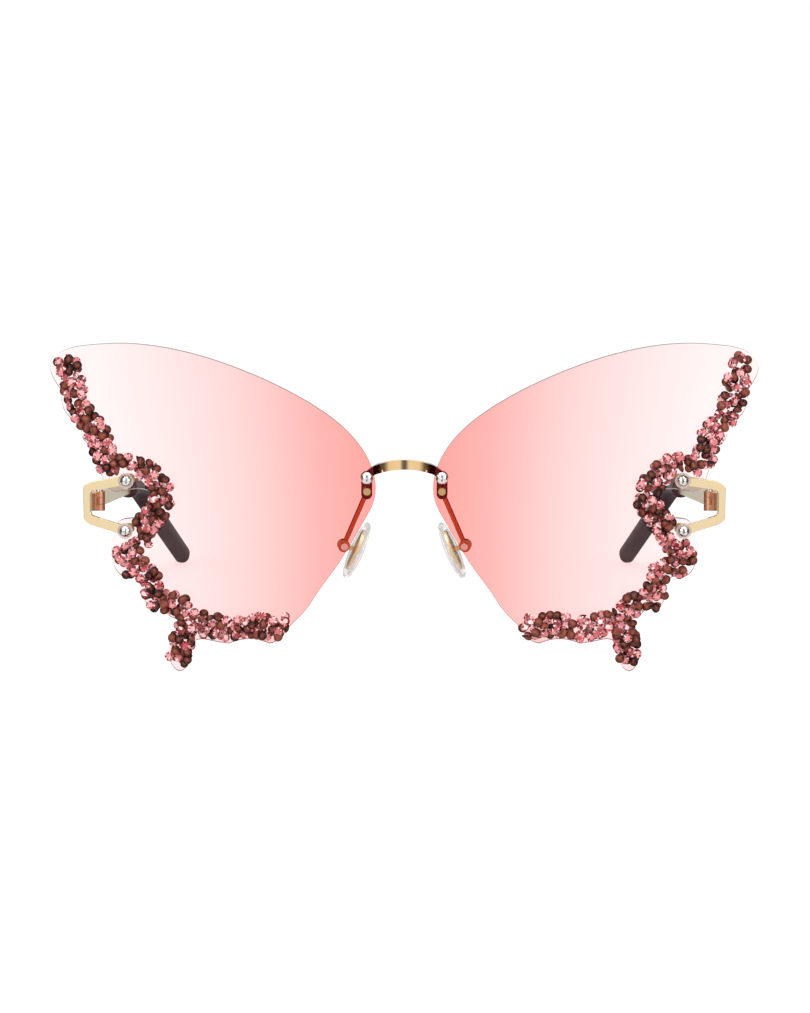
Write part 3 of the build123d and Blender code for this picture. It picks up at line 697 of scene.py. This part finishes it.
# %% [markdown]
# Under each fork screw sits a clear nylon washer that keeps metal off the lens. It is a
# little milky, so light enters it and comes out soft: a rough transmission says that with
# one shader, where a true milk of particles would take a volume and much longer to render.

# %% Nylon washers
def milky_nylon():
    """Translucent nylon: mostly transmission, rough inside, warm white."""
    material, tree, output = new_finish("milky nylon")
    nylon = add(tree, "ShaderNodeBsdfPrincipled", {"Base Color": linear("#F1E6E2"), "Roughness": 0.25,
                                                    "IOR": 1.53, "Transmission Weight": 0.75})
    tree.links.new(nylon.outputs[0], output.inputs["Surface"])
    return material


repaint(milky_nylon(), "endpiece_washers")
print("washers repainted", len(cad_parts["endpiece_washers"].material_slots))

# %% [markdown]
# A nose pad is moulded from clear silicone round a small metal plate. The pad is a
# superellipsoid: its outline is an oval, and its edge is round like a cushion's, flatter in
# the middle. Two angles run over it, one round the outline and one from back to front.
# A power below 1 makes a round fuller, so each power below says how full one round is.
# The pivot and the two directions are those that the CAD source prints for the right pad.

# %% Pad shape
pad_length, pad_width, pad_thickness, pad_stem = 13.6, 7.2, 2.5, 2.0
pad_pivot = np.array([13.5994, -60.1475, 28.0681])
pad_up = np.array([-0.400349, 0.0, 0.916363])
pad_in = np.array([-0.902441, 0.173648, -0.394267])
pad_edge_power, pad_cushion_power = 0.45, 0.8
pad_lower_swell = 0.07
pad_fullness, pad_end_thinning = 0.98, 0.12
pad_rows, pad_columns = 25, 56


def signed_power(value, power):
    """sign(v) * |v| ** power, the building block of a superellipse."""
    return np.sign(value) * np.abs(value) ** power


def pad_surface(sign):
    """Outline (cos a, sin a) * cos(b) ** edge, height sin(b) ** cushion, wider below, thinner at the ends."""
    b = np.linspace(-math.pi / 2, math.pi / 2, pad_rows)[1:-1, None]
    a = np.linspace(0, math.tau, pad_columns, endpoint=False)[None]
    spread = np.cos(b) ** pad_edge_power
    along = pad_length / 2 * np.cos(a) * spread
    across = pad_width / 2 * np.sin(a) * spread * (1 - pad_lower_swell * np.cos(a))
    fullness = pad_fullness - pad_end_thinning * spread * np.abs(np.cos(a))
    thick = pad_thickness / 2 * (1 + signed_power(np.sin(b), pad_cushion_power) * fullness)
    flip = np.array([sign, 1.0, 1.0])
    up, inward = pad_up * flip, pad_in * flip
    wide = np.cross(inward, up)
    middle = pad_pivot * flip + inward * pad_stem
    return middle + along[..., None] * up + across[..., None] * wide + thick[..., None] * inward


print("pad grid", pad_surface(1.0).shape)

# %% [markdown]
# Silicone lets light pass and scatters a little of it, which gives a faint even haze. The
# haze drifts over a few millimetres. Part of the light goes straight through by alpha,
# because a pad this thin never looks as dark as two bent surfaces would make it.

# %% Silicone nose pads
haze_size = 2.5


def moulded_silicone():
    """Clear silicone: light passes but scatters a little, soft gloss, IOR 1.41."""
    material, tree, output = new_finish("clear moulded silicone")
    place = add(tree, "ShaderNodeTexCoord")
    cloud = add(tree, "ShaderNodeTexNoise", {"Scale": 1 / (haze_size * MM), "Detail": 2.0},
                {"Vector": place.outputs["Object"]})
    haze = add(tree, "ShaderNodeMapRange", {"To Min": 0.1, "To Max": 0.18}, {"Value": cloud.outputs["Fac"]})
    values = {"Base Color": linear("#F6F3F3"), "IOR": 1.41, "Transmission Weight": 0.95, "Alpha": 0.55}
    silicone = add(tree, "ShaderNodeBsdfPrincipled", values, {"Roughness": haze.outputs["Result"]})
    passed = add(tree, "ShaderNodeBsdfTransparent", {"Color": linear("#E6DCDB")})
    let_lamps_through(tree, output, silicone, passed)
    return material


silicone = moulded_silicone()
for side, sign in (("right", 1.0), ("left", -1.0)):
    points = pad_surface(sign)
    faces = tube_faces(*points.shape[:2])
    pad = put_mesh(side + "_silicone_pad", points.reshape(-1, 3), faces, side + "_pad")
    finish_with(pad, silicone, side + "_nose_pad")
print("pads", pad_length, "x", pad_width, "x", pad_thickness, "mm")

# %% [markdown]
# The temple tips are sleeves of dark acetate, pushed over the temple and bent down behind
# the ear. The centre line is straight, then an arc, then straight. A curve with a bevel
# would also carry a section along it, but its ends would be plain cuts. The sizes are those
# of the CAD source, so the sleeve lies where the CAD tip does.

# %% Tip centre line
hinge_at = np.array([68.3942, -56.1526, 37.4252])
temple_slope = math.radians(6.5)
temple_middle, temple_inward, temple_length = 2.05, 2.6, 76.0
tip_overlap, tip_bend_radius, tip_inward, tip_reach = 14.0, 34.0, 8.2, 50.1
line_steps = 40


def temple_point(share):
    """Point on the centre line of the right temple at a share of its length."""
    length = temple_length * share
    return hinge_at + np.array([temple_middle - temple_inward * share, length * math.cos(temple_slope),
                                -length * math.sin(temple_slope)])


def bent_line(start, bend, end, radius):
    """Straight, arc, straight: the arc is centre + radius * (u * sin f - n * cos f)."""
    u, v = bend - start, end - bend
    u, v = u / np.linalg.norm(u), v / np.linalg.norm(v)
    angle = math.acos(float(u @ v))
    n = (v - (u @ v) * u) / math.sin(angle)
    cut = radius * math.tan(angle / 2)
    first, last = bend - u * cut, bend + v * cut
    f = np.linspace(0, angle, line_steps)[:, None]
    arc = first + radius * (n + u * np.sin(f) - n * np.cos(f))
    t = np.linspace(0, 1, line_steps)[:, None]
    return np.concatenate([start + (first - start) * t[:-1], arc, last + (end - last) * t[1:]])


print("temple ends at", temple_point(1).round(2), "mm")

# %% [markdown]
# An oval section travels along the line and gets a little narrower on its way. The mouth is
# broken by a small round, and the far end closes in a larger one, as a drum polishes it.
# Rows bunch up at both ends, where the section changes fastest.

# %% Tip sleeve
mouth_round, mouth_drop = 0.35, 0.22
end_round, end_close = 1.4, 0.995
tip_half_wide, tip_half_tall, tip_narrowing = 2.19, 2.37, 0.1
oval_power = 0.85
mouth_rows, body_rows, end_rows, tip_columns = 6, 90, 9, 36


def sleeve_rows(total):
    """Places of the rows along a line of a total length: even steps, with a quarter circle at each end."""
    opening = mouth_round * (1 - np.cos(np.linspace(0, math.pi / 2, mouth_rows)))
    body = np.linspace(mouth_round, total - end_round, body_rows)[1:-1]
    closing = total - end_round * (1 - np.sin(np.linspace(0, math.pi / 2, end_rows)))
    return np.concatenate([opening, body, closing])


def sleeve(end_height):
    """Point = line + half width * close * x * wide + half height * close * z * tall, x and z on an oval."""
    start, bend = temple_point(1 - tip_overlap / temple_length), temple_point(1)
    end = np.array([hinge_at[0] - tip_inward, bend[1] + tip_reach, end_height])
    line = bent_line(start, bend, end, tip_bend_radius)
    step = np.r_[0, np.cumsum(np.linalg.norm(np.diff(line, axis=0), axis=1))]
    grid = sleeve_rows(step[-1])
    path = np.stack([np.interp(grid, step, line[:, i]) for i in range(3)], axis=-1)
    # two rows at the end lie very close, so a hair keeps them apart in the slope
    along = np.gradient(path, grid + 1e-9 * np.arange(len(grid)), axis=0)
    along /= np.linalg.norm(along, axis=1)[:, None]
    wide = np.cross([0.0, 0.0, 1.0], along)
    wide /= np.linalg.norm(wide, axis=1)[:, None]
    tall = np.cross(along, wide)
    opened = np.sqrt(np.clip(1 - (1 - grid / mouth_round) ** 2, 0, 1))
    close = np.where(grid < mouth_round, 1 - mouth_drop + mouth_drop * opened, 1.0)
    tail = np.clip((grid - step[-1] + end_round) / end_round, 0, 1)
    close = close * np.sqrt(np.clip(1 - (end_close * tail) ** 2, 0, 1))
    half_wide = (tip_half_wide - tip_narrowing * (grid / step[-1])) * close
    half_tall = tip_half_tall * close
    a = np.linspace(0, math.tau, tip_columns, endpoint=False)
    x, z = signed_power(np.cos(a), oval_power), signed_power(np.sin(a), oval_power)
    return (path[:, None] + half_wide[:, None, None] * x[None, :, None] * wide[:, None]
            + half_tall[:, None, None] * z[None, :, None] * tall[:, None])


# %% [markdown]
# Acetate is cut from sheet in which pigment lies in faint clouds a few millimetres wide.
# The tips look soft and dark behind the lenses, with hardly a highlight, although the tent
# round them is white. So the skin is fairly rough and its mirror level is low.

# %% Acetate temple tips
cloud_size = 6.0
first_height, floor_gap = 2.2, 0.01


def polished_acetate():
    """Dark brown-mauve acetate: faint clouds of pigment a few millimetres wide, soft gloss."""
    material, tree, output = new_finish("brown mauve acetate, polished")
    place = add(tree, "ShaderNodeTexCoord")
    values = {"Scale": 1 / (cloud_size * MM), "Detail": 4.0, "Roughness": 0.55}
    cloud = add(tree, "ShaderNodeTexNoise", values, {"Vector": place.outputs["Object"]})
    stops = [(0.3, "#2E1B1F"), (0.7, "#41292D")]
    colour = add(tree, "ShaderNodeValToRGB", {}, {"Fac": cloud.outputs["Fac"]}, stops)
    limits = {"To Min": 0.42, "To Max": 0.54}
    skin = add(tree, "ShaderNodeMapRange", limits, {"Value": cloud.outputs["Fac"]})
    acetate = add(tree, "ShaderNodeBsdfPrincipled", {"IOR": 1.48, "Specular IOR Level": 0.12},
                  {"Base Color": colour.outputs["Color"], "Roughness": skin.outputs["Result"]})
    tree.links.new(acetate.outputs[0], output.inputs["Surface"])
    return material


acetate = polished_acetate()
# the end is lowered until the sleeve stands on the floor
height = first_height - (float(sleeve(first_height)[..., 2].min()) - floor_gap)
for side, sign in (("right", 1.0), ("left", -1.0)):
    points = sleeve(height) * np.array([sign, 1.0, 1.0])
    faces = tube_faces(*points.shape[:2])
    if sign > 0:
        # the section runs the other way round on this side, and faces have to point outwards
        faces = [face[::-1] for face in faces]
    tip = put_mesh(side + "_acetate_tip", points.reshape(-1, 3), faces, side + "_temple_arm", sharp=60)
    finish_with(tip, acetate, side + "_temple_tip")
print("tips stand at height", round(float(points[..., 2].min()), 3), "mm")
